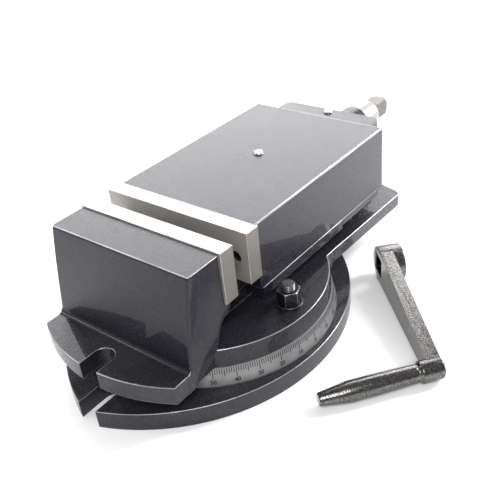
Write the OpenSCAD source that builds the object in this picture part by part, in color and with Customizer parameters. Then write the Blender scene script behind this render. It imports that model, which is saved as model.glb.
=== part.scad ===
// Machine vise on a graduated swivel base, with its crank handle lying on the table.
// Frame: the origin is the swivel axis on the table under the base. Z points up.
// X runs along the jaw width. Y runs along the slide, from the fixed jaw to the screw end.
// All sizes are millimetres at real size.

/* [Jaws] */
// width of both hardened jaw plates
jaw_width = 160; // [157:1:170]
// height of both jaw plates
plate_height = 49; // [46:0.5:49]
// thickness of both jaw plates
plate_thick = 15.4; // [14:0.2:17]
// gap between the two jaw plates as drawn
jaw_gap = 17.3; // [6:0.1:40]
// distance of the jaw plate screws from the middle
plate_screw_x = 66; // [60:1:70]

/* [Bed] */
// half width of the low bed plate where it leaves the flange
bed_half = 80.6; // [79:0.2:82]
// radius of the front ear about the swivel axis
ear_radius = 154.5; // [150:0.5:160]
// radius of the rear end about the swivel axis
rear_radius = 236; // [230:1:245]
// radius of the clamping flange at its upper edge
flange_radius = 112.7; // [110:0.1:113.4]
// half width of the clamping slots in the bed and in the base
slot_half = 10.1; // [8:0.1:11]

/* [Swivel base] */
// radius of each of the two side arcs of the base plate
side_arc = 176.3; // [172:0.1:180]
// height of the base plate edge
base_plate = 18; // [16:0.5:18.5]
// radius on which the two clamping bolts sit
bolt_circle = 92; // [90:0.5:95]

/* [Screw and handle] */
// radius of the screw thread at its crest
thread_radius = 11; // [10.6:0.1:11]
// pitch of the screw thread
thread_pitch = 5; // [4:1:6]
// distance across the flats of the square drive end
square_drive = 19; // [17:0.5:19]
// distance from the handle socket to its elbow
crank_length = 149.5; // [140:0.5:165]
// length of the handle grip from the elbow
grip_length = 97; // [80:1:100]

/* [Hidden] */
$fn = 96;
eps = 0.2;
// heights above the table
jaw_top = 138;
ring_top = 35;
bed_bottom = 35.3;
tail_bottom = 38.8;
flange_top = 52.5;
rail_under = 73.8;
rail_top = 88.7;
channel_floor = 60;
keeper_bottom = 63.5;
rear_keeper_bottom = 66.9;
jaw_bottom = 73.5;
screw_z = 100;
plate_screw_z = 112;
block_top = 136.5;
// stations along the slide
plate_back = -66.3;
clamp_face = plate_back + plate_thick;
moving_face = clamp_face + jaw_gap;
jaw_front = moving_face + plate_thick;
jaw_length = 210;
jaw_rear = jaw_front + jaw_length;
housing_thick = 30.2;
housing_rear = jaw_rear + housing_thick;
boss_end = jaw_rear + 77;
collar_end = boss_end + 27.5;
rail_end = 203;
flange_cut = -76;
nut_front = 108;
nut_rear = 146;
// widths
block_half = 78;
jaw_half = 77.5;
rail_half = 62;
neck_half = 54;
channel_half = 28;
cavity_half = 42;
slip = 0.3;
fit = 0.05;
// base
arc_offset = side_arc - 123.8;
hub_radius = 110;
ring_foot = 118.3;
ring_edge = 114.9;
pivot_radius = 20;
// fasteners
m8 = 4;
m10 = 5;
m12 = 6;
head_r = 5.2;
housing_screw_places = [[-46, 102], [46, 102], [-32, 123], [32, 123]];
keeper_start = 3;
keeper_stop = 132;
rear_keeper_start = 132.3;
rear_keeper_stop = 200;
keeper_screw_y = [22, 65, 108, 149, 187];
nut_screw_y = [98, 156];
boss_radius = 18.9;
elbow_radius = 10;
crank_lean = asin((boss_radius - elbow_radius) / crank_length);
crank_place = [105.8, 132.7, boss_radius];
crank_turn = [0, crank_lean, -45.1];
grip_splay = 7.4;
boss_length = 23.6;
arm_thick = 12;

// ---- helpers ----

// box centred on X between two Y stations and two heights
module slab(half_x, y0, y1, z0, z1) {
  translate([-half_x, y0, z0])
    cube([2 * half_x, y1 - y0, z1 - z0]);
}

// round bar along Y from one station to another
module bar_y(x, z, r, y0, y1) {
  translate([x, y0, z])
    rotate([-90, 0, 0])
      cylinder(r = r, h = y1 - y0);
}

// ring along Y with an outer and an inner radius
module ring_y(z, r_out, r_in, y0, y1) {
  translate([0, y0, z])
    rotate([-90, 0, 0])
      rotate_extrude()
        polygon([[r_in, 0], [r_out, 0], [r_out, y1 - y0], [r_in, y1 - y0]]);
}

// profile drawn in the YZ plane and extruded across X
module across_x(half_x) {
  translate([-half_x, 0, 0])
    rotate([90, 0, 90])
      linear_extrude(height = 2 * half_x)
        children();
}

// profile drawn in the XZ plane and extruded along Y from y0 to y1
module along_y(y0, y1) {
  translate([0, y1, 0])
    rotate([90, 0, 0])
      linear_extrude(height = y1 - y0)
        children();
}

// open-ended slot running out over the front, with a round inner end
module end_slot(inner_y, z0, z1) {
  reach = 80;
  round_y = inner_y - slot_half;
  translate([0, round_y, z0])
    cylinder(r = slot_half, h = z1 - z0);
  slab(slot_half, round_y - reach, round_y, z0, z1);
}

// hexagonal bar standing on Z, given across its flats
module hex_bar(flats, h) {
  cylinder(r = flats / 2 / cos(30), h = h, $fn = 6);
}

// socket head screw pointing along -Z, the head top at z = 0
module cap_screw(r, head, head_h, total, socket) {
  difference() {
    union() {
      translate([0, 0, -head_h])
        cylinder(r = head, h = head_h);
      translate([0, 0, -total])
        cylinder(r = r, h = total - head_h + eps);
    }
    translate([0, 0, -head_h * 0.6])
      hex_bar(socket, head_h);
  }
}

// ---- swivel base ----

module base_outline() {
  intersection() {
    translate([-arc_offset, 0])
      circle(r = side_arc, $fn = 180);
    translate([arc_offset, 0])
      circle(r = side_arc, $fn = 180);
  }
}

// circular T-slot for the clamping bolts
module t_slot() {
  neck = m12 + 0.8;
  wing = 11.5;
  rotate_extrude()
    polygon([
      [bolt_circle - neck, 27], [bolt_circle - neck, ring_top + 1],
      [bolt_circle + neck, ring_top + 1], [bolt_circle + neck, 27],
      [bolt_circle + wing, 27], [bolt_circle + wing, 14],
      [bolt_circle - wing, 14], [bolt_circle - wing, 27]
    ]);
}

module swivel_base() {
  color([0.05, 0.05, 0.06])
    difference() {
      union() {
        linear_extrude(height = base_plate)
          base_outline();
        cylinder(r = hub_radius, h = ring_top);
      }
      t_slot();
      // opening where the bolt heads are dropped into the T-slot
      translate([0, bolt_circle, 14])
        cylinder(r = 13.2, h = 30);
      // pivot seat
      translate([0, 0, 5])
        cylinder(r = pivot_radius, h = 40);
      cylinder(r = 8, h = 40, center = true);
      // open clamping slots at both ends
      for (turn = [0, 180])
        rotate([0, 0, turn])
          end_slot(-128, -1, ring_top);
      // tenon grooves on the underside
      for (turn = [0, 180])
        rotate([0, 0, turn])
          slab(9, -129, -84, -1, 5);
    }
}

module scale_ring() {
  color([0.75, 0.74, 0.72])
    rotate_extrude($fn = 180)
      polygon([
        [hub_radius, base_plate], [ring_foot, base_plate], [ring_foot, base_plate + 1],
        [ring_edge, ring_top], [hub_radius, ring_top]
      ]);
}

module centre_pivot() {
  color([0.6, 0.6, 0.6])
    translate([0, 0, 5])
      rotate_extrude()
        polygon([
          [6, 0], [pivot_radius - 1, 0], [pivot_radius, 1], [pivot_radius, 43],
          [pivot_radius - 2, 45], [6, 45]
        ]);
}

// ---- bed with the fixed jaw ----

// side view of the fixed jaw block
module block_profile() {
  polygon([
    [plate_back, block_top], [plate_back, rail_top], [-58.5, rail_top], [-60, 83], [-72, 76],
    [-83, 51.4], [-111, 36.8], [-113, bed_bottom], [-118.4, bed_bottom],
    [-118.4, flange_top], [-116.2, 53.3], [-115, 55.2], [-114.3, 58], [-113.2, 66],
    [-110.9, 84], [-107.4, 107], [-102.6, 134],
    [-101.4, block_top]
  ]);
}

module bed_plan() {
  rear_half = bed_half + 2.9;
  corner = 8;
  corner_x = rear_half - corner;
  reach = rear_radius - corner;
  corner_y = sqrt(reach * reach - corner_x * corner_x);
  grow = rear_radius / reach;
  intersection() {
    union() {
      polygon([
        [-bed_half, flange_cut], [bed_half, flange_cut], [bed_half, 90],
        [rear_half, corner_y], [-rear_half, corner_y], [-bed_half, 90]
      ]);
      polygon([
        [rear_half, corner_y], [grow * corner_x, grow * corner_y],
        [grow * corner_x, rear_radius + 5], [-grow * corner_x, rear_radius + 5],
        [-grow * corner_x, grow * corner_y], [-rear_half, corner_y]
      ]);
      for (side = [-1, 1])
        translate([side * corner_x, corner_y])
          circle(r = corner);
    }
    circle(r = rear_radius, $fn = 180);
  }
}

module bed_solid() {
  // fixed jaw block
  across_x(block_half)
    block_profile();
  // front ear
  translate([0, 0, bed_bottom])
    linear_extrude(height = flange_top - bed_bottom)
      intersection() {
        circle(r = ear_radius, $fn = 180);
        translate([-jaw_half, -170])
          square([2 * jaw_half, 60]);
      }
  slab(75.5, -118, flange_cut + 1, bed_bottom, flange_top);
  // clamping flange
  translate([0, 0, bed_bottom])
    rotate_extrude($fn = 180)
      polygon([
        [0, 0], [ring_edge - 0.6, 0], [flange_radius, flange_top - bed_bottom],
        [0, flange_top - bed_bottom]
      ]);
  // low plate under the slideways, relieved underneath outside the scale ring
  difference() {
    translate([0, 0, bed_bottom])
      linear_extrude(height = flange_top - bed_bottom)
        bed_plan();
    rotate_extrude($fn = 180)
      polygon([
        [ring_foot + 1, 30], [260, 30], [260, tail_bottom], [ring_foot + 1, tail_bottom]
      ]);
  }
  // slideways
  slab(neck_half, plate_back - 20, rail_end, flange_top - 1, rail_under + 1);
  slab(rail_half, plate_back - 20, rail_end, rail_under, rail_top);
}

module bed() {
  color([0.06, 0.06, 0.07])
    difference() {
      bed_solid();
      // channel between the slideways
      slab(channel_half, -40, 240, channel_floor, 100);
      // clamping slots
      end_slot(-127, 0, 60);
      rotate([0, 0, 180])
        end_slot(-209, 0, 60);
      // pivot bore
      translate([0, 0, 30])
        cylinder(r = pivot_radius + fit, h = 22);
      // holes for the clamping bolts
      for (side = [-1, 1])
        translate([side * bolt_circle, 0, 30])
          cylinder(r = m12 + 0.1, h = 40);
      // threaded holes for the jaw plate screws
      for (side = [-1, 1])
        bar_y(side * plate_screw_x, plate_screw_z, m8 + fit, -90, plate_back + 1);
      // threaded holes for the nut screws
      for (y = nut_screw_y)
        translate([0, y, 42])
          cylinder(r = m10 + fit, h = 30);
    }
}

// one hardened jaw plate with counterbored screw holes, its clamping face at y = 0
module jaw_plate_solid() {
  color([0.8, 0.79, 0.76])
    difference() {
      translate([-jaw_width / 2, 0, jaw_top - plate_height])
        cube([jaw_width, plate_thick, plate_height]);
      for (side = [-1, 1]) {
        bar_y(side * plate_screw_x, plate_screw_z, head_r + 0.2, -1, 8.5);
        bar_y(side * plate_screw_x, plate_screw_z, m8 + fit, -1, plate_thick + 1);
      }
    }
}

// the two screws of one jaw plate, heads towards y = 0
module plate_screw_pair(total) {
  for (side = [-1, 1])
    color([0.2, 0.2, 0.2])
      translate([side * plate_screw_x, 2.5, plate_screw_z])
        rotate([90, 0, 0])
          cap_screw(m8, head_r, 6, total, 5);
}

module fixed_jaw_plate() {
  translate([0, clamp_face, 0])
    mirror([0, 1, 0])
      jaw_plate_solid();
}

module fixed_plate_screws() {
  translate([0, clamp_face, 0])
    mirror([0, 1, 0])
      plate_screw_pair(32);
}

module t_bolts() {
  head_half = 9.5;
  plain = 40;
  pitch = 1.75;
  root = m12 - 0.9;
  for (side = [-1, 1])
    color([0.3, 0.3, 0.3])
      translate([side * bolt_circle, 0, 0]) {
        translate([-head_half, -head_half, 16.5])
          cube([2 * head_half, 2 * head_half, 10.2]);
        translate([0, 0, 26])
          rotate_extrude()
            polygon(concat(
              [[0, 0], [m12, 0]],
              [for (k = [0 : 3])
                for (step = [0 : 2])
                  [step == 2 ? root : m12, plain + (k + (step == 0 ? 0 : 0.25 * (step + 1))) * pitch]],
              [[m12, plain + 4 * pitch], [m12, plain + 4.4 * pitch],
               [root, plain + 4.8 * pitch], [0, plain + 4.8 * pitch]]
            ));
      }
}

module clamp_washers() {
  for (side = [-1, 1])
    color([0.25, 0.25, 0.26])
      translate([side * bolt_circle, 0, flange_top])
        rotate_extrude()
          polygon([[m12 + 0.3, 0], [12, 0], [12, 2.5], [m12 + 0.3, 2.5]]);
}

// hexagonal nut with bevelled upper corners
module clamp_nut(side) {
  nut_h = 13.2;
  nut_turn = -12;
  color([0.2, 0.2, 0.21])
    translate([side * bolt_circle, 0, flange_top + 2.8])
      difference() {
        intersection() {
          rotate([0, 0, nut_turn])
            hex_bar(19, nut_h);
          rotate_extrude()
            polygon([[0, 0], [11.3, 0], [11.3, nut_h - 1.3], [9.2, nut_h], [0, nut_h]]);
        }
        translate([0, 0, -1])
          cylinder(r = m12 + fit, h = nut_h + 2);
      }
}

module screw_nut() {
  color([0.7, 0.55, 0.3])
    difference() {
      union() {
        slab(26, nut_front - 18, nut_rear + 18, channel_floor, channel_floor + 12);
        slab(20, nut_front, nut_rear, channel_floor, 112);
        bar_y(0, screw_z, 20, nut_front, nut_rear);
      }
      bar_y(0, screw_z, thread_radius + fit, 80, 180);
      for (y = nut_screw_y)
        translate([0, y, 50])
          cylinder(r = m10 + fit, h = 40);
    }
}

module nut_screws() {
  for (y = nut_screw_y)
    color([0.2, 0.2, 0.2])
      translate([0, y, channel_floor + 12 + 8])
        cap_screw(m10, 8, 8, 36, 8);
}

// ---- sliding jaw ----

module movable_jaw() {
  soft = 1.2;
  color([0.07, 0.07, 0.08])
    difference() {
      along_y(jaw_front, jaw_rear)
        polygon([
          [-jaw_half, jaw_bottom], [jaw_half, jaw_bottom], [jaw_half, jaw_top - soft],
          [jaw_half - soft, jaw_top], [soft - jaw_half, jaw_top], [-jaw_half, jaw_top - soft]
        ]);
      // way for the slideways of the bed
      slab(rail_half + slip, jaw_front - 1, jaw_rear + 1, 70, rail_top + slip);
      // cavity over the screw and the nut
      slab(cavity_half, jaw_front + 15.2, jaw_rear - 14, 80, 124);
      // opening in the rear wall
      bar_y(0, screw_z, 16.5, jaw_rear - 20, jaw_rear + 1);
      for (side = [-1, 1])
        bar_y(side * plate_screw_x, plate_screw_z, m8 + fit, jaw_front - 1, jaw_front + 24);
      for (place = housing_screw_places)
        bar_y(place[0], place[1], m8 + fit, jaw_rear - 24, jaw_rear + 1);
      for (side = [-1, 1])
        for (y = keeper_screw_y)
          translate([side * 70, jaw_front + y, 60])
            cylinder(r = m8 + fit, h = 34);
      translate([0, 89.6, jaw_top - 14])
        cylinder(r = 3 + fit, h = 20);
    }
}

module movable_jaw_plate() {
  translate([0, moving_face, 0])
    jaw_plate_solid();
}

module movable_plate_screws() {
  translate([0, moving_face, 0])
    plate_screw_pair(32);
}

// hold-down strip that grips under a slideway, from one station of the jaw to another
module keeper(side, start, stop, bottom) {
  inner = neck_half + 0.6;
  color([0.07, 0.07, 0.08])
    mirror([side < 0 ? 1 : 0, 0, 0])
      difference() {
        translate([inner, jaw_front + start, bottom])
          cube([jaw_half - 0.2 - inner, stop - start, jaw_bottom - bottom]);
        for (y = keeper_screw_y)
          translate([70, jaw_front + y, 50]) {
            cylinder(r = m8 + fit, h = 40);
            cylinder(r = 6.6, h = keeper_bottom - 50 + 6.5);
          }
      }
}

// thinner strip behind the hold-down strip
module rear_keeper(side) {
  keeper(side, rear_keeper_start, rear_keeper_stop, rear_keeper_bottom);
}

module keeper_screws() {
  for (side = [-1, 1])
    for (y = keeper_screw_y)
      color([0.2, 0.2, 0.2])
        translate([side * 70, jaw_front + y, keeper_bottom + 0.5])
          rotate([180, 0, 0])
            cap_screw(m8, 6.4, 6, 24, 6);
}

// bearing bracket bolted behind the sliding jaw
module rear_housing() {
  foot = rail_top + 0.8;
  crown = 132.7;
  color([0.07, 0.07, 0.08])
    difference() {
      union() {
        intersection() {
          along_y(jaw_rear, housing_rear)
            polygon([[-75, foot], [75, foot], [75, 116], [57, crown], [-57, crown], [-75, 116]]);
          linear_extrude(height = 200)
            polygon([
              [-75, jaw_rear], [75, jaw_rear], [55, housing_rear - 1], [53, housing_rear],
              [-53, housing_rear], [-55, housing_rear - 1]
            ]);
        }
        translate([0, housing_rear - 4, screw_z])
          rotate([-90, 0, 0])
            rotate_extrude()
              polygon([
                [0, 0], [21.8, 0], [18.4, boss_end - housing_rear + 3],
                [17.6, boss_end - housing_rear + 4], [0, boss_end - housing_rear + 4]
              ]);
      }
      bar_y(0, screw_z, 10 + fit, jaw_rear - 1, boss_end + 1);
      bar_y(0, screw_z, 15.1, boss_end - 9, boss_end + 1);
      for (place = housing_screw_places) {
        bar_y(place[0], place[1], m8 + fit, jaw_rear - 1, housing_rear + 1);
        bar_y(place[0], place[1], 6.6, housing_rear - 7, housing_rear + 1);
      }
      translate([0, 213.5, crown - 14])
        cylinder(r = 3 + fit, h = 20);
    }
}

module housing_screws() {
  for (place = housing_screw_places)
    color([0.2, 0.2, 0.2])
      translate([place[0], housing_rear, place[1]])
        rotate([-90, 0, 0])
          cap_screw(m8, 6.4, 6.5, 46, 6);
}

// ball oiler with its stem pressed into the casting
module oiler(y, seat_z) {
  color([0.8, 0.8, 0.8])
    translate([0, y, seat_z])
      union() {
        rotate_extrude()
          polygon([
            [0, -10], [3, -10], [3, 0], [5, 0], [5, 0.8], [4, 2], [2.4, 2.4], [0, 2.4]
          ]);
        translate([0, 0, 2])
          sphere(r = 1.8);
      }
}

// ---- screw and its thrust bearing ----

module thrust_race_fixed() {
  color([0.7, 0.7, 0.72])
    ring_y(screw_z, 15, 9.2, boss_end - 9, boss_end - 6.4);
}

module thrust_balls() {
  for (k = [0 : 11])
    color([0.8, 0.8, 0.82])
      translate([0, boss_end - 4.6, screw_z])
        rotate([0, k * 30, 0])
          translate([12, 0, 0])
            sphere(r = 1.5, $fn = 24);
}

module thrust_race_turning() {
  color([0.7, 0.7, 0.72])
    ring_y(screw_z, 14.6, 8.5 + fit, boss_end - 2.8, boss_end + 0.6);
}

module lead_screw() {
  tip = jaw_front + 20.2;
  rings = floor(170 / thread_pitch);
  core = thread_radius - 2.2;
  crest = 0.25 * thread_pitch;
  square_length = 31;
  color([0.72, 0.72, 0.74])
    union() {
      // threaded part, drawn as a row of ridges
      translate([0, tip, screw_z])
        rotate([-90, 0, 0])
          rotate_extrude()
            polygon(concat(
              [[0, 0], [core, 0]],
              [for (k = [0 : rings - 1])
                for (step = [0 : 3])
                  [step == 1 || step == 2 ? thread_radius : core,
                   k * thread_pitch + 1 + (step > 0 ? 0.8 : 0) + (step > 1 ? crest : 0)
                   + (step > 2 ? 0.8 : 0)]],
              [[core, 175], [0, 175]]
            ));
      // thrust flange inside the jaw, journal and stem
      bar_y(0, screw_z, 14, jaw_rear - 11, jaw_rear - 0.5);
      bar_y(0, screw_z, thread_radius, jaw_rear - 16, jaw_rear - 10);
      bar_y(0, screw_z, 10, jaw_rear - 1, boss_end - 9.6);
      bar_y(0, screw_z, 8.5, boss_end - 10, collar_end);
      // square drive end with a bevelled nose
      intersection() {
        translate([-square_drive / 2, collar_end, screw_z - square_drive / 2])
          cube([square_drive, square_length, square_drive]);
        translate([0, collar_end - 1, screw_z])
          rotate([-90, 0, 0])
            rotate_extrude()
              polygon([
                [0, 0], [13, 0], [13, square_length - 2.5], [10, square_length + 1],
                [0, square_length + 1]
              ]);
      }
    }
}

module screw_collar() {
  start = boss_end + 0.6;
  span = collar_end - start;
  color([0.85, 0.85, 0.85])
    difference() {
      translate([0, start, screw_z])
        rotate([-90, 0, 0])
          rotate_extrude()
            polygon([
              [8.5 + fit, 0], [16.5, 0], [17, 0.6], [16.6, span - 1.4], [15, span],
              [8.5 + fit, span]
            ]);
      translate([0, start + 14, screw_z - 20])
        cylinder(r = 3 + fit, h = 20);
    }
}

module collar_set_screw() {
  color([0.15, 0.15, 0.15])
    translate([0, boss_end + 14.6, screw_z - 15])
      difference() {
        cylinder(r = 3, h = 6.4);
        translate([0, 0, -1])
          hex_bar(3, 3);
      }
}

// ---- crank handle ----

module crank_solid() {
  knuckle = 8.5;
  taper = 27;
  difference() {
    union() {
      // socket boss
      rotate([-90, 0, 0])
        rotate_extrude()
          polygon([
            [0, 0], [boss_radius - 0.8, 0], [boss_radius, 1], [boss_radius, boss_length - 1.5],
            [boss_radius - 1.5, boss_length], [0, boss_length]
          ]);
      // arm
      translate([0, arm_thick, 0])
        rotate([90, 0, 0])
          linear_extrude(height = arm_thick)
            polygon([
              [0, 0.4 - boss_radius], [crank_length, 0.4 - elbow_radius],
              [crank_length, elbow_radius - 0.4], [0, boss_radius - 0.4]
            ]);
      // elbow and grip
      translate([crank_length, 0, 0])
        rotate([90, 0, grip_splay])
          rotate_extrude()
            polygon([
              [0, -13], [elbow_radius - 2, -13], [elbow_radius, -11],
              [elbow_radius, knuckle - 2], [elbow_radius - 1.6, knuckle], [7.3, knuckle + 1],
              [8, knuckle + 2.4], [8.7, 0.3 * grip_length], [9.3, 0.5 * grip_length],
              [9.3, grip_length - taper], [5.8, grip_length - 0.8], [5, grip_length],
              [0, grip_length]
            ]);
    }
    // square socket
    translate([-square_drive / 2 - 0.2, -1, -square_drive / 2 - 0.2])
      cube([square_drive + 0.4, boss_length + 2, square_drive + 0.4]);
  }
}

module crank_handle() {
  color([0.55, 0.54, 0.52])
    translate(crank_place)
      rotate(crank_turn)
        crank_solid();
}

swivel_base();
scale_ring();
centre_pivot();
bed();
fixed_jaw_plate();
fixed_plate_screws();
t_bolts();
clamp_washers();
clamp_nut(1);  // clamp_nut_right
clamp_nut(-1);  // clamp_nut_left
screw_nut();
nut_screws();
movable_jaw();
movable_jaw_plate();
movable_plate_screws();
keeper(1, keeper_start, keeper_stop, keeper_bottom);  // keeper_right
keeper(-1, keeper_start, keeper_stop, keeper_bottom);  // keeper_left
rear_keeper(1);  // rear_keeper_right
rear_keeper(-1);  // rear_keeper_left
keeper_screws();
rear_housing();
housing_screws();
oiler(89.6, jaw_top);  // front_oiler
oiler(213.5, 132.7);  // rear_oiler
thrust_race_fixed();
thrust_balls();
thrust_race_turning();
lead_screw();
screw_collar();
collar_set_screw();
crank_handle();
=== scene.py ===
import math
import bmesh
import bpy
from mathutils import Matrix, Vector
from mathutils.bvhtree import BVHTree


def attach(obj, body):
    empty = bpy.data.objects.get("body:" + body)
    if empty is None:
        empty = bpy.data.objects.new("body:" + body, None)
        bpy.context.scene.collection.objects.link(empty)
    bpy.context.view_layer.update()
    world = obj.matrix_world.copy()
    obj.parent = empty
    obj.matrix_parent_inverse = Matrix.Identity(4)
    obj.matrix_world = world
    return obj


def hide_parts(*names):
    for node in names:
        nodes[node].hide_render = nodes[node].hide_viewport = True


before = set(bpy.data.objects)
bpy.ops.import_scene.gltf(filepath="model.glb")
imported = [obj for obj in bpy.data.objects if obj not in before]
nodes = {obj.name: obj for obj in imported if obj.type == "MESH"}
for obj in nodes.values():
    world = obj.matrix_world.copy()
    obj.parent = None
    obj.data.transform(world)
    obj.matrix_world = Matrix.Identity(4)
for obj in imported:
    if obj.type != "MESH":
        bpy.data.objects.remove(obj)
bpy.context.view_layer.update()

# Lengths are in metres. The origin is the swivel axis on the underside of the base,
# X runs along the jaws and Y towards the end of the screw.


# ---------------------------------------------------------------- materials

class Shader:
    """A node material with a principled shader and a few helpers."""

    def __init__(self, name, **sockets):
        self.mat = bpy.data.materials.new(name)
        self.mat.use_nodes = True
        self.tree = self.mat.node_tree
        self.bsdf = self.tree.nodes["Principled BSDF"]
        for key, value in sockets.items():
            self.bsdf.inputs[key.replace("_", " ")].default_value = value
        self.coord = self.tree.nodes.new("ShaderNodeTexCoord")

    def link(self, a, b):
        self.tree.links.new(a, b)

    def mapped(self, scale):
        """Object coordinates, scaled per axis."""
        node = self.tree.nodes.new("ShaderNodeMapping")
        node.inputs["Scale"].default_value = scale
        self.link(self.coord.outputs["Object"], node.inputs["Vector"])
        return node.outputs["Vector"]

    def noise(self, scale, detail=3.0, rough=0.55, stretch=(1, 1, 1)):
        node = self.tree.nodes.new("ShaderNodeTexNoise")
        node.inputs["Scale"].default_value = scale
        node.inputs["Detail"].default_value = detail
        node.inputs["Roughness"].default_value = rough
        self.link(self.mapped(stretch), node.inputs["Vector"])
        return node.outputs["Fac"]

    def height(self):
        """Height in the object's own coordinates."""
        node = self.tree.nodes.new("ShaderNodeSeparateXYZ")
        self.link(self.coord.outputs["Object"], node.inputs["Vector"])
        return node.outputs["Z"]

    def times(self, a, b):
        node = self.tree.nodes.new("ShaderNodeMath")
        node.operation = "MULTIPLY"
        self.link(a, node.inputs[0])
        self.link(b, node.inputs[1])
        return node.outputs["Value"]

    def spread(self, value, low, high, at_low=0.3, at_high=0.7):
        """Maps values between at_low and at_high to the range from low to high."""
        node = self.tree.nodes.new("ShaderNodeMapRange")
        node.inputs["From Min"].default_value = at_low
        node.inputs["From Max"].default_value = at_high
        node.inputs["To Min"].default_value = low
        node.inputs["To Max"].default_value = high
        self.link(value, node.inputs["Value"])
        return node.outputs["Result"]

    def colour(self, value, first, second, at_low=0.3, at_high=0.7):
        """Blends the base colour from first to second along a value."""
        node = self.tree.nodes.new("ShaderNodeValToRGB")
        node.color_ramp.elements[0].position = at_low
        node.color_ramp.elements[0].color = (*first, 1)
        node.color_ramp.elements[1].position = at_high
        node.color_ramp.elements[1].color = (*second, 1)
        self.link(value, node.inputs["Fac"])
        self.link(node.outputs["Color"], self.bsdf.inputs["Base Color"])

    def rough(self, value):
        self.link(value, self.bsdf.inputs["Roughness"])

    def relief(self, heights, edge=0.0):
        """Adds bumps, each a (height value, depth in metres, strength), over rounded edges."""
        normal = None
        if edge:
            bevel = self.tree.nodes.new("ShaderNodeBevel")
            bevel.samples = 6
            bevel.inputs["Radius"].default_value = edge
            normal = bevel.outputs["Normal"]
        for value, depth, strength in heights:
            bump = self.tree.nodes.new("ShaderNodeBump")
            bump.inputs["Distance"].default_value = depth
            bump.inputs["Strength"].default_value = strength
            self.link(value, bump.inputs["Height"])
            if normal:
                self.link(normal, bump.inputs["Normal"])
            normal = bump.outputs["Normal"]
        self.link(normal, self.bsdf.inputs["Normal"])


def enamel(name, grain=0.8, painted_glint=0.085, painted_glint_top=0.056):
    """Glossy clear layer over a dark layer, with pale flecks painted into the colour on the
    lower parts: painted glints of light on the rough casting.
    """
    s = Shader(name, Specular_IOR_Level=0.21, Specular_Tint=(0.93, 0.86, 1.0, 1.0),
               Coat_Weight=0.34, Coat_Roughness=0.05)
    # Painted glint: pale flecks in the base colour, kept below a height, stand in for light
    # sparkling on the rough enamel.
    glint_flecks = s.spread(s.noise(1600, 2), 0, 1, 0.54, 0.70)
    low = s.spread(s.height(), 1, 0, painted_glint_top - 0.004, painted_glint_top)
    s.colour(s.times(glint_flecks, low), (0.0085, 0.0075, 0.0125), (painted_glint, painted_glint, painted_glint), 0, 1)
    s.rough(s.spread(s.noise(600, 3), 0.18, 0.30))
    s.relief([(s.noise(1200, 1), 0.0006, grain)])
    return s.mat


def ground_steel(name, tint=(0.37, 0.358, 0.34)):
    """Steel with grinding marks along X."""
    s = Shader(name, Metallic=0.6)
    dark = tuple(0.92 * c for c in tint)
    s.colour(s.noise(120, 4, stretch=(0.2, 1, 1)), dark, tint)
    s.rough(s.spread(s.noise(400, 3, stretch=(0.1, 1, 1)), 0.36, 0.46))
    s.relief([(s.noise(900, 2, stretch=(0.1, 1, 1)), 0.00003, 0.2)])
    return s.mat


def turned_steel(name, tint, roughness=(0.16, 0.30), edge=0.0004, grain=0.2, metal=1.0):
    """Machined metal with faint marks across its axis."""
    s = Shader(name, Metallic=metal)
    dark = tuple(0.82 * c for c in tint)
    s.colour(s.noise(120, 4), dark, tint)
    s.rough(s.spread(s.noise(420, 3), *roughness))
    s.relief([(s.noise(900, 2, stretch=(1, 1, 6)), 0.0001, grain)], edge)
    return s.mat


def black_oxide(name):
    """Blackened steel of the fasteners."""
    s = Shader(name, Metallic=0.75)
    s.colour(s.noise(240, 4), (0.014, 0.014, 0.017), (0.034, 0.033, 0.034))
    s.rough(s.spread(s.noise(700, 3), 0.22, 0.42))
    s.relief([(s.noise(1300, 2), 0.0001, 0.3)], 0.0005)
    return s.mat


def cast_chrome(name):
    """Plating over a rough casting, dark, with fine bright flecks painted into the colour as
    glints of light.
    """
    s = Shader(name, Metallic=1.0)
    # Painted glint: the bright flecks in the base colour stand in for light sparkling on the
    # hammered plating.
    s.colour(s.noise(900, 2), (0.04, 0.038, 0.038), (0.20, 0.194, 0.19), 0.36, 0.64)
    s.rough(s.spread(s.noise(600, 3), 0.16, 0.26))
    s.relief([(s.noise(1200, 2), 0.0003, 0.34), (s.noise(500, 1), 0.0003, 0.02)])
    return s.mat


def plain(name, colour, roughness):
    """Matt paint with a slight mottle."""
    s = Shader(name)
    s.colour(s.noise(300, 3), tuple(0.8 * c for c in colour), colour)
    s.rough(s.spread(s.noise(500, 2), roughness - 0.08, roughness + 0.08))
    return s.mat


def thin_edge(name, colour, roughness=(0.22, 0.32), metal=0.6):
    """Edges, partly worn where the finish thins out and partly a painted highlight: a brighter,
    more metallic finish that stands in for the light the edges catch.
    """
    s = Shader(name, Metallic=metal)
    s.colour(s.noise(24, 3), tuple(0.45 * c for c in colour), colour)
    s.rough(s.spread(s.noise(400, 2), *roughness))
    return s.mat


ENAMEL = enamel("black_enamel")
BASE_ENAMEL = enamel("base_enamel", grain=1.0)
PLATE = ground_steel("ground_plate")
RING = turned_steel("scale_band", (0.25, 0.245, 0.25), (0.30, 0.42), grain=0.06, metal=0.35)
STUD = turned_steel("plain_stud", (0.26, 0.26, 0.25), (0.2, 0.3), grain=0.03)
BRIGHT = turned_steel("bright_steel", (0.34, 0.34, 0.34), (0.34, 0.44), grain=0.05, metal=0.45)
POLISHED = turned_steel("polished_steel", (0.55, 0.55, 0.55), (0.2, 0.3), grain=0.05)
SPINDLE = turned_steel("spindle_steel", (0.11, 0.102, 0.095), (0.34, 0.5), grain=0.2, metal=0.3)
THREAD = turned_steel("thread_steel", (0.15, 0.15, 0.155), (0.3, 0.42), grain=0.03)
OXIDE = black_oxide("black_oxide")
BRONZE = turned_steel("cast_bronze", (0.62, 0.44, 0.22), (0.25, 0.45))
CHROME = cast_chrome("cast_chrome")
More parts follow.
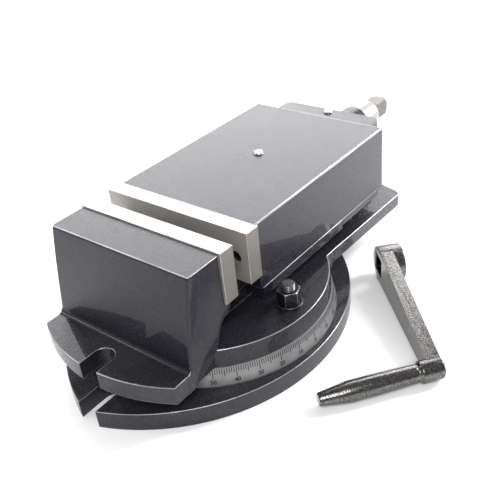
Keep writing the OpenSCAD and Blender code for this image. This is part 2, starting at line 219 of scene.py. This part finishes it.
# Edge materials: wear plus painted highlight, drawing light lines along the rounded edges.
ENAMEL_EDGE = thin_edge("enamel_edge", (0.50, 0.50, 0.53), (0.26, 0.36), 0.8)
# Painted shade: a darker copy of the ground steel for the plate ends, the faces that look along
# X.
PLATE_END_SHADE = ground_steel("plate_end_shade", (0.18, 0.168, 0.152))
PLATE_EDGE = thin_edge("plate_edge", (0.55, 0.53, 0.50), metal=0.9)
CHROME_EDGE = thin_edge("chrome_edge", (0.20, 0.195, 0.19), metal=0.9)
OXIDE_EDGE = thin_edge("oxide_edge", (0.40, 0.40, 0.42), metal=0.8)
MARKS = plain("scale_marks", (0.02, 0.02, 0.024), 0.6)
PALE_MARKS = plain("pale_marks", (0.55, 0.55, 0.56), 0.4)

LOOKS = {
    ENAMEL: "bed movable_jaw keeper_right keeper_left rear_keeper_right rear_keeper_left "
            "rear_housing".split(),
    BASE_ENAMEL: ["swivel_base"],
    PLATE: ["fixed_jaw_plate", "movable_jaw_plate"],
    RING: ["scale_ring"],
    SPINDLE: ["lead_screw"],
    THREAD: ["t_bolts"],
    STUD: "centre_pivot thrust_race_fixed thrust_balls "
          "thrust_race_turning".split(),
    BRIGHT: ["screw_collar"],
    POLISHED: ["front_oiler", "rear_oiler"],
    OXIDE: "clamp_washers clamp_nut_right clamp_nut_left fixed_plate_screws "
           "movable_plate_screws nut_screws keeper_screws housing_screws "
           "collar_set_screw".split(),
    BRONZE: ["screw_nut"],
    CHROME: ["crank_handle"],
}


def paint(obj, material):
    """Gives a carried-over CAD node its only material."""
    obj.data.materials.clear()
    obj.data.materials.append(material)


for material, names in LOOKS.items():
    for name in names:
        paint(nodes[name], material)


# ---------------------------------------------------------------- pieces

def piece_from(name, bm, material, body):
    """Makes an object of a bmesh and lets it ride on a body of the CAD model."""
    mesh = bpy.data.meshes.new(name)
    bm.normal_update()
    bm.to_mesh(mesh)
    bm.free()
    obj = bpy.data.objects.new(name, mesh)
    bpy.context.scene.collection.objects.link(obj)
    obj.data.materials.append(material)
    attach(obj, body)
    return obj


DIAGONAL = math.sqrt(0.5)
CRISP_ANGLE = math.radians(50)
SMOOTH_ANGLE = math.radians(38)
FLAT_ANGLE = math.radians(0.6)
SHORTEST_EDGE = 0.0005
CORNER_ROUNDING = 0.0026
BLOCK_SIDE, BLOCK_BACK, BLOCK_FOOT = 0.0775, -0.066, 0.054


def is_block_corner(edge):
    """Upright edges of the fixed jaw block, which are cast with a broad rounding."""
    a, b = (v.co for v in edge.verts)
    return (min(abs(a.x), abs(b.x)) > BLOCK_SIDE and max(a.y, b.y) < BLOCK_BACK
            and min(a.z, b.z) > BLOCK_FOOT and abs(a.z - b.z) > abs(a.y - b.y))


def is_side_chamfer(normal):
    """The 45 degree chamfers along the upper side edges of the sliding jaw."""
    return abs(abs(normal.x) - DIAGONAL) < 0.008 and abs(normal.z - DIAGONAL) < 0.008


def is_nut_cone(normal):
    """The conical chamfer on top of a clamping nut."""
    return 0.2 < normal.z < 0.97


# Painted highlight: these faces take the edge material, drawing light lines on the jaw's side
# chamfers and on the nuts' chamfer cones.
HIGHLIGHT_FACES = {
    "movable_jaw": is_side_chamfer,
    "clamp_nut_right": is_nut_cone,
    "clamp_nut_left": is_nut_cone,
}


def softened(node, width, material, edge_material, body, broad=None,
             plain_uprights=False, shaded_ends=None, bright=None):
    """A rounded copy of a CAD node: flat faces are joined and every crisp edge is bevelled.

    The bevels take edge_material, wear and painted highlight, except upright ones where
    plain_uprights is set.
    So do the faces whose normals bright accepts. The faces that look along X take the end
    material, a darker copy that paints shade on them.
    """
    bm = bmesh.new()
    bm.from_mesh(nodes[node].data)
    bmesh.ops.remove_doubles(bm, verts=bm.verts[:], dist=2e-6)
    bmesh.ops.dissolve_limit(bm, angle_limit=FLAT_ANGLE, verts=bm.verts[:],
                             edges=bm.edges[:], use_dissolve_boundaries=False)
    if broad:
        wide = [e for e in bm.edges if e.is_manifold and broad(e)]
        bmesh.ops.bevel(bm, geom=wide, offset=CORNER_ROUNDING, offset_type="OFFSET",
                        segments=6, profile=0.5, affect="EDGES", clamp_overlap=False)
    before = BVHTree.FromBMesh(bm)
    crisp = [e for e in bm.edges
             if e.is_manifold and e.calc_face_angle(0) > CRISP_ANGLE
             and e.calc_length() > SHORTEST_EDGE]
    # The bevel faces take material 1, the edge material: wear and painted highlight.
    bmesh.ops.bevel(bm, geom=crisp, offset=width, offset_type="OFFSET", segments=3,
                    profile=0.5, affect="EDGES", clamp_overlap=False, loop_slide=True,
                    miter_outer="ARC", spread=width * 0.4, material=1)
    # A bevel can overshoot past the end of a short edge, so such points go back to the solid.
    for vert in bm.verts:
        place, _, _, gap = before.find_nearest(vert.co)
        if gap > 0.6 * width:
            vert.co = place
    for face in bm.faces:
        face.smooth = True
        if face.material_index == 1 and abs(face.normal.z) < 0.2 and plain_uprights:
            face.material_index = 0
        # Painted highlight: faces that bright accepts take the edge material.
        if bright and bright(face.normal):
            face.material_index = 1
        # Painted shade: faces that look along X take the darker end copy of the steel.
        if shaded_ends and abs(face.normal.x) > 0.95:
            face.material_index = 2
    obj = piece_from(node + "_cast", bm, material, body)
    obj.data.materials.append(edge_material)
    if shaded_ends:
        obj.data.materials.append(shaded_ends)
    obj.data.set_sharp_from_angle(angle=SMOOTH_ANGLE)
    even = obj.modifiers.new("even_normals", "WEIGHTED_NORMAL")
    even.keep_sharp = True
    even.weight = 100
    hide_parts(node)
    return obj


# Node, rounding, material, material of the edges, body and slot.
SOFT = [
    ("bed", 0.0006, ENAMEL, ENAMEL_EDGE, "bed_body", "black_enamel"),
    ("movable_jaw", 0.0007, ENAMEL, ENAMEL_EDGE, "sliding_jaw", "black_enamel"),
    ("rear_housing", 0.0007, ENAMEL, ENAMEL_EDGE, "sliding_jaw", "black_enamel"),
    ("keeper_right", 0.0005, ENAMEL, ENAMEL_EDGE, "sliding_jaw", "black_enamel"),
    ("keeper_left", 0.0005, ENAMEL, ENAMEL_EDGE, "sliding_jaw", "black_enamel"),
    ("rear_keeper_right", 0.0005, ENAMEL, ENAMEL_EDGE, "sliding_jaw", "black_enamel"),
    ("rear_keeper_left", 0.0005, ENAMEL, ENAMEL_EDGE, "sliding_jaw", "black_enamel"),
    ("swivel_base", 0.0005, BASE_ENAMEL, ENAMEL_EDGE, "base", "black_enamel"),
    ("fixed_jaw_plate", 0.0005, PLATE, PLATE_EDGE, "bed_body", "ground_steel"),
    ("movable_jaw_plate", 0.0005, PLATE, PLATE_EDGE, "sliding_jaw", "ground_steel"),
    ("crank_handle", 0.0012, CHROME, CHROME_EDGE, "handle", "satin_chrome"),
    ("clamp_nut_right", 0.0004, OXIDE, OXIDE_EDGE, "nut_right", "black_oxide"),
    ("clamp_nut_left", 0.0004, OXIDE, OXIDE_EDGE, "nut_left", "black_oxide"),
    ("clamp_washers", 0.0003, OXIDE, OXIDE_EDGE, "bed_body", "black_oxide"),
    ("t_bolts", 0.0002, THREAD, OXIDE_EDGE, "bed_body", "black_oxide"),
]
for node, width, material, edge_material, body, slot in SOFT:
    softened(node, width, material, edge_material, body,
             broad=is_block_corner if node == "bed" else None,
             plain_uprights=material in (ENAMEL, BASE_ENAMEL),
             shaded_ends=PLATE_END_SHADE if material is PLATE else None,
             bright=HIGHLIGHT_FACES.get(node))

FLANGE_RADIUS = 0.113
INDEX_LOW, INDEX_HIGH = 0.0391, 0.047
INDEX_WIDTH = 0.0008
BAND_FOOT, BAND_EDGE = 0.1183, 0.1149
BAND_LOW, BAND_HIGH = 0.019, 0.035
TICK_RADIUS, NUMERAL_RADIUS = 0.116, 0.117
TICK_WIDTH = 0.0008
TICK_TOP = BAND_HIGH - 0.0004
LONG_TICK, MIDDLE_TICK, SHORT_TICK = 0.0095, 0.0078, 0.0054
NUMERAL_SIZE, NUMERAL_FOOT, NUMERAL_BOLDNESS = 0.0052, 0.0208, 0.0002
PRINT_LIFT = 0.00006
INDEX_LIFT = 0.00012


def on_band(angle, height):
    """Point just proud of the ring's cone, at an angle from +X in radians and a height."""
    share = (height - BAND_LOW) / (BAND_HIGH - BAND_LOW)
    radius = BAND_FOOT + (BAND_EDGE - BAND_FOOT) * share + PRINT_LIFT
    return Vector((radius * math.cos(angle), radius * math.sin(angle), height))


def on_flange(angle, height):
    """Point just proud of the bed's round flange."""
    radius = FLANGE_RADIUS + INDEX_LIFT
    return Vector((radius * math.cos(angle), radius * math.sin(angle), height))


def add_line(bm, angle, low, high, half, point):
    """An upright line on a round face, reaching half radians to either side of an angle."""
    ring = [point(angle - half, low), point(angle + half, low),
            point(angle + half, high), point(angle - half, high)]
    bm.faces.new([bm.verts.new(p) for p in ring])


def scale_ticks():
    """One line per degree, longer every five and ten degrees."""
    half = TICK_WIDTH / 2 / TICK_RADIUS
    bm = bmesh.new()
    for degree in range(360):
        reach = LONG_TICK if degree % 10 == 0 else MIDDLE_TICK if degree % 5 == 0 else SHORT_TICK
        add_line(bm, math.radians(degree), BAND_HIGH - reach, TICK_TOP, half, on_band)
    return piece_from("scale_ticks", bm, MARKS, "base")


def scale_numbers():
    """A number every ten degrees, from 0 at the sides to 90 at the front and back."""
    bm = bmesh.new()
    for degree in range(0, 360, 10):
        value = abs((degree + 90) % 180 - 90)
        curve = bpy.data.curves.new("numeral", "FONT")
        curve.body = str(value)
        curve.size = NUMERAL_SIZE
        curve.align_x = "CENTER"
        curve.resolution_u = 3
        curve.offset = NUMERAL_BOLDNESS
        text = bpy.data.objects.new("numeral", curve)
        bpy.context.scene.collection.objects.link(text)
        bpy.context.view_layer.update()
        flat = bpy.data.meshes.new_from_object(text.evaluated_get(
            bpy.context.evaluated_depsgraph_get()))
        bpy.data.objects.remove(text)
        for v in flat.vertices:
            angle = math.radians(degree) + v.co.x / NUMERAL_RADIUS
            v.co = on_band(angle, NUMERAL_FOOT + v.co.y)
        bm.from_mesh(flat)
    return piece_from("scale_numbers", bm, MARKS, "base")


def index_marks():
    """The line on each side of the bed flange that the scale is read against."""
    half = INDEX_WIDTH / 2 / (FLANGE_RADIUS + INDEX_LIFT)
    bm = bmesh.new()
    for centre in (0, math.pi):
        add_line(bm, centre, INDEX_LOW, INDEX_HIGH, half, on_flange)
    return piece_from("index_marks", bm, PALE_MARKS, "bed_body")


scale_ticks()
scale_numbers()
index_marks()


# ---------------------------------------------------------------- setting

def floor():
    """A plain pale table top just under the vise."""
    bm = bmesh.new()
    bmesh.ops.create_grid(bm, x_segments=1, y_segments=1, size=6)
    mesh = bpy.data.meshes.new("floor")
    bm.to_mesh(mesh)
    bm.free()
    obj = bpy.data.objects.new("floor", mesh)
    bpy.context.scene.collection.objects.link(obj)
    obj.location.z = -0.0002
    s = Shader("floor_white", Roughness=0.9, Specular_IOR_Level=0.1)
    s.colour(s.noise(4, 2), (0.93, 0.93, 0.93), (0.96, 0.96, 0.96))
    obj.data.materials.append(s.mat)


def soft_light(name, place, target, size_x, size_y, radiance):
    """A rectangular softbox whose face has the given radiance."""
    data = bpy.data.lights.new(name, "AREA")
    data.shape = "RECTANGLE"
    data.size = size_x
    data.size_y = size_y
    data.energy = radiance * math.pi * size_x * size_y
    obj = bpy.data.objects.new(name, data)
    obj.location = place
    aim = Vector(target) - Vector(place)
    obj.rotation_euler = aim.to_track_quat("-Z", "Y").to_euler()
    bpy.context.scene.collection.objects.link(obj)


def sky(strength):
    """Even white light from all around."""
    world = bpy.data.worlds.new("studio")
    world.use_nodes = True
    background = world.node_tree.nodes["Background"]
    background.inputs["Color"].default_value = (1, 1, 1, 1)
    background.inputs["Strength"].default_value = strength
    bpy.context.scene.world = world


def camera():
    """The photographer's view from the front right, above the vise."""
    place = Vector((0.39885, -0.40031, 0.43641))
    azimuth, elevation, roll = map(math.radians, (40.80, 32.81, -6.24))
    forward = Vector((-math.sin(azimuth) * math.cos(elevation),
                      math.cos(azimuth) * math.cos(elevation), -math.sin(elevation)))
    level = Vector((math.cos(azimuth), math.sin(azimuth), 0))
    upright = level.cross(forward)
    right = math.cos(roll) * level + math.sin(roll) * upright
    up = math.cos(roll) * upright - math.sin(roll) * level
    turn = Matrix((right, up, -forward)).transposed()
    data = bpy.data.cameras.new("camera")
    data.sensor_width = 36
    data.lens = 52.0128
    data.clip_start = 0.02
    obj = bpy.data.objects.new("camera", data)
    obj.matrix_world = Matrix.Translation(place) @ turn.to_4x4()
    bpy.context.scene.collection.objects.link(obj)
    bpy.context.scene.camera = obj


floor()
sky(0.42)
soft_light("back_softbox", (-1.15, 1.35, 1.20), (0, 0.05, 0.1), 2.3, 1.7, 5.0)
soft_light("rear_right_strip", (0.75, 1.25, 0.85), (0.05, 0.05, 0.1), 0.3, 1.2, 32.0)
soft_light("left_strip", (-1.25, -0.75, 0.95), (0, 0, 0.05), 0.3, 1.0, 6.0)
soft_light("front_fill", (0.75, -0.8, 1.15), (0.05, 0, 0.05), 0.6, 0.6, 14.0)
camera()
bpy.context.scene.view_settings.view_transform = "Standard"
